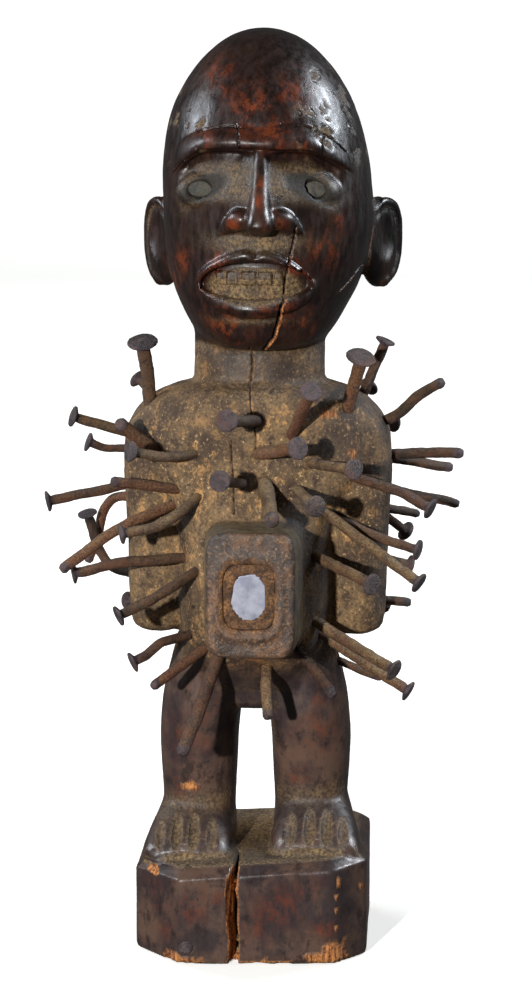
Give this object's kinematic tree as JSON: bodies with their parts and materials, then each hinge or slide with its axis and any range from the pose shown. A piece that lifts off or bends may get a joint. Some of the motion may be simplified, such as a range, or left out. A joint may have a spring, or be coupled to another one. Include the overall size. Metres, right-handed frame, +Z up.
{
  "type": "nail figure",
  "caption": "Standing carved wooden figure on a plinth, iron nails driven all over its body, a mirror bedded in the box on its belly, glass eyes.",
  "frame": {"origin": "middle of the plinth's underside", "axes": "+Z up, the figure faces -Y, +X towards the viewer's right when it is seen from the front"},
  "size_m": [0.1614, 0.1131, 0.35],
  "materials": {
    "wood": "dark polished patina on the head, legs and plinth, dusty tan crust on the body",
    "iron": "rusted dark brown iron",
    "resin": "orange brown granular resin",
    "mirror": "clouded old mirror glass",
    "glass": "dulled grey green glass"
  },
  "bodies": {
    "root": {"eye_glass_left": "glass", "eye_glass_right": "glass", "figure": "wood", "mirror": "mirror", "mirror_bedding": "resin", "nail_arm_left_1": "iron", "nail_arm_left_2": "iron", "nail_arm_left_3": "iron", "nail_arm_left_4": "iron", "nail_arm_left_5": "iron", "nail_arm_left_6": "iron", "nail_arm_right_1": "iron", "nail_arm_right_10": "iron", "nail_arm_right_2": "iron", "nail_arm_right_3": "iron", "nail_arm_right_4": "iron", "nail_arm_right_5": "iron", "nail_arm_right_6": "iron", "nail_arm_right_7": "iron", "nail_arm_right_8": "iron", "nail_arm_right_9": "iron", "nail_back_1": "iron", "nail_back_2": "iron", "nail_back_3": "iron", "nail_back_4": "iron", "nail_back_5": "iron", "nail_back_6": "iron", "nail_belly_left_1": "iron", "nail_belly_left_2": "iron", "nail_belly_left_3": "iron", "nail_belly_right_1": "iron", "nail_belly_right_2": "iron", "nail_belly_right_3": "iron", "nail_chest_left_1": "iron", "nail_chest_left_2": "iron", "nail_chest_left_3": "iron", "nail_chest_mid_1": "iron", "nail_chest_mid_2": "iron", "nail_chest_mid_3": "iron", "nail_chest_mid_4": "iron", "nail_chest_right_1": "iron", "nail_chest_right_2": "iron", "nail_chest_right_3": "iron", "nail_crotch_1": "iron", "nail_hip_left_1": "iron", "nail_hip_left_2": "iron", "nail_hip_left_3": "iron", "nail_hip_right_1": "iron", "nail_hip_right_2": "iron", "nail_hip_right_3": "iron", "nail_hip_right_4": "iron", "nail_plinth": "iron", "nail_shoulder_left_1": "iron", "nail_shoulder_left_2": "iron", "nail_shoulder_left_3": "iron", "nail_shoulder_right_1": "iron", "nail_shoulder_right_2": "iron", "nail_shoulder_right_3": "iron", "nail_shoulder_right_4": "iron"}
  },
  "joints": []
}
